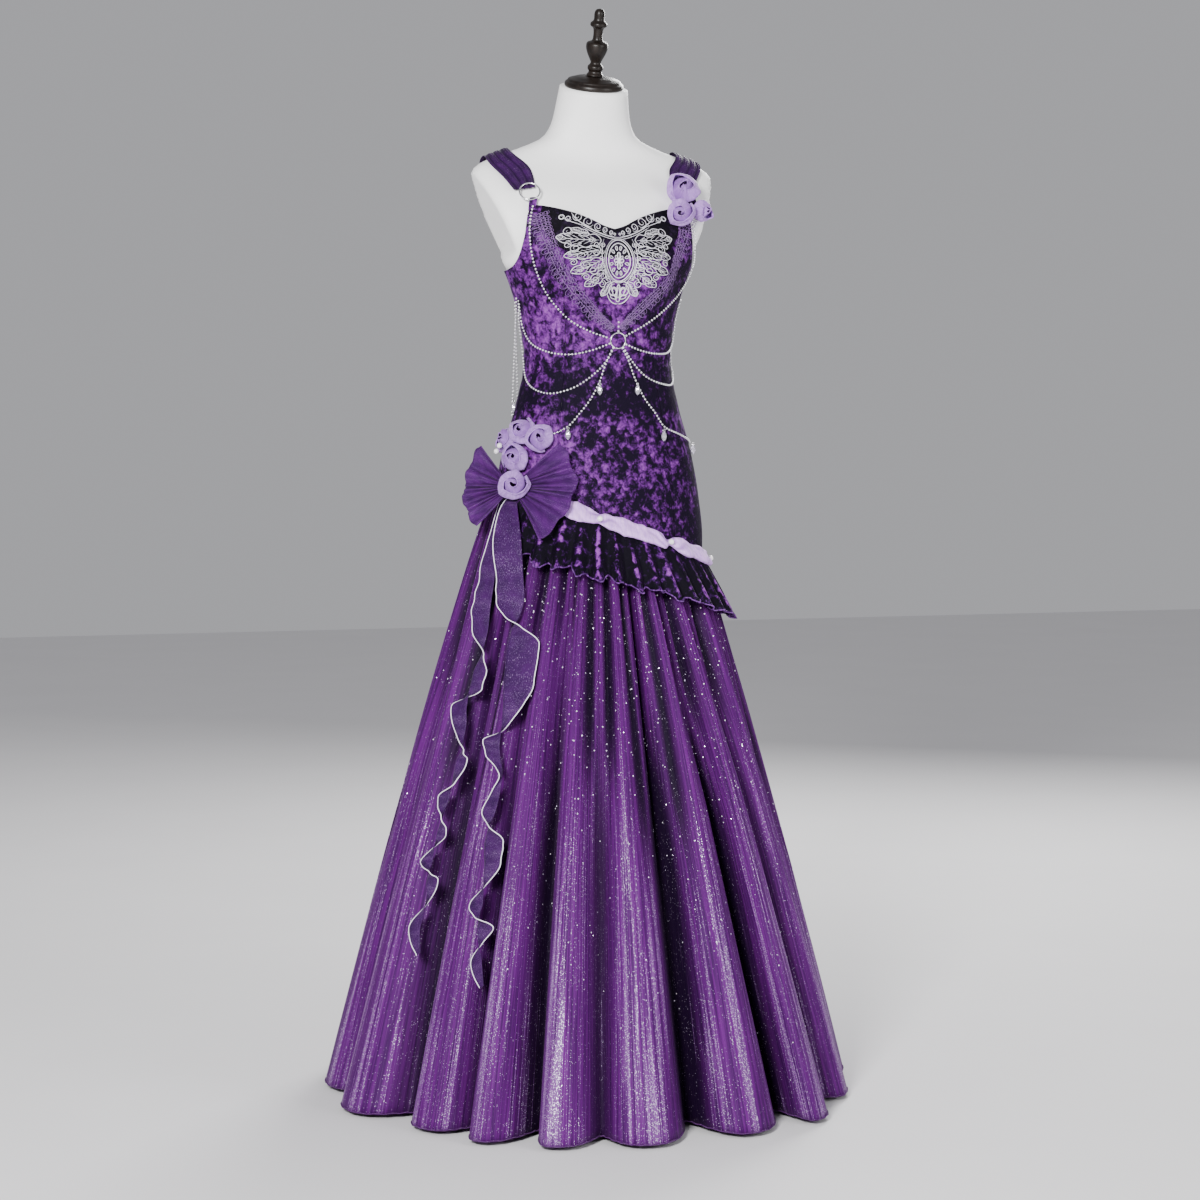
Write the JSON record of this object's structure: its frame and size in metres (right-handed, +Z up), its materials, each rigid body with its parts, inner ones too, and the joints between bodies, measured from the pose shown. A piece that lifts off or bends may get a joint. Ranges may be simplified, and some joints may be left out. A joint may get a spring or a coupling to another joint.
{
  "type": "mermaid evening dress on a dress form",
  "caption": "Mermaid evening dress with fitted velvet bodice, slanted flounce, pleated fan with roses and full organza skirt, worn by a limbless dress form on a hidden stand.",
  "frame": {"origin": "centre of the underside of the stand's round base, on the floor", "axes": "+Z up along the stand's pole, -Y the front of the dress, +X the wearer's left"},
  "size_m": [0.8521, 0.9003, 1.7181],
  "materials": {
    "form_cover": "smooth white jersey over a foam dress form",
    "dark_wood": "dark espresso stain with a satin lacquer",
    "steel": "brushed stand tube",
    "velvet": "crushed purple velvet with bright and dark patches",
    "black_velvet": "black velvet",
    "glitter_organza": "purple organza with glitter and fine crinkle lines",
    "pleated_organza": "gathered and pleated shimmer organza",
    "lilac_organza": "soft lilac organza",
    "silver_thread": "silver and white thread embroidery on black",
    "lace_thread": "purple lace with looped edges",
    "silver": "polished silver-coloured metal",
    "pearl": "pearl bead",
    "crystal": "cut clear drop"
  },
  "bodies": {
    "root": {"form_body": "form_cover", "neck_cap": "dark_wood", "finial": "dark_wood", "stand_pole": "steel", "stand_base": "dark_wood", "bodice_centre_front": "velvet", "bodice_side_front_left": "velvet", "bodice_side_front_right": "velvet", "bodice_back_left": "velvet", "bodice_back_right": "velvet", "skirt_front": "glitter_organza", "skirt_back": "glitter_organza", "flounce_front": "velvet", "flounce_back": "velvet", "ruched_band_front": "lilac_organza", "ruched_band_back": "lilac_organza", "ruched_band_front_pearl_1": "pearl", "ruched_band_front_pearl_2": "pearl", "ruched_band_front_pearl_3": "pearl", "ruched_band_back_pearl_1": "pearl", "ruched_band_back_pearl_2": "pearl", "ruched_band_back_pearl_3": "pearl", "strap_right": "pleated_organza", "strap_left": "pleated_organza", "strap_ring": "silver", "strap_tab": "velvet", "yoke": "black_velvet", "applique": "silver_thread", "lace_right": "lace_thread", "lace_left": "lace_thread", "centre_ring": "silver", "crystal_upper_right": "crystal", "crystal_upper_left": "crystal", "crystal_lower_right": "crystal", "crystal_lower_left": "crystal", "crystal_side_left": "crystal", "crystal_side_right": "crystal", "fan_front_lobe": "pleated_organza", "fan_rear_lobe": "pleated_organza", "hip_rose_low": "lilac_organza", "hip_rose_middle": "lilac_organza", "hip_rose_front": "lilac_organza", "hip_rose_top": "lilac_organza", "hip_rose_rear": "lilac_organza", "shoulder_rose_top": "lilac_organza", "shoulder_rose_inner": "lilac_organza", "shoulder_rose_outer": "lilac_organza", "streamer_front": "pleated_organza", "streamer_rear": "pleated_organza"}
  },
  "joints": []
}
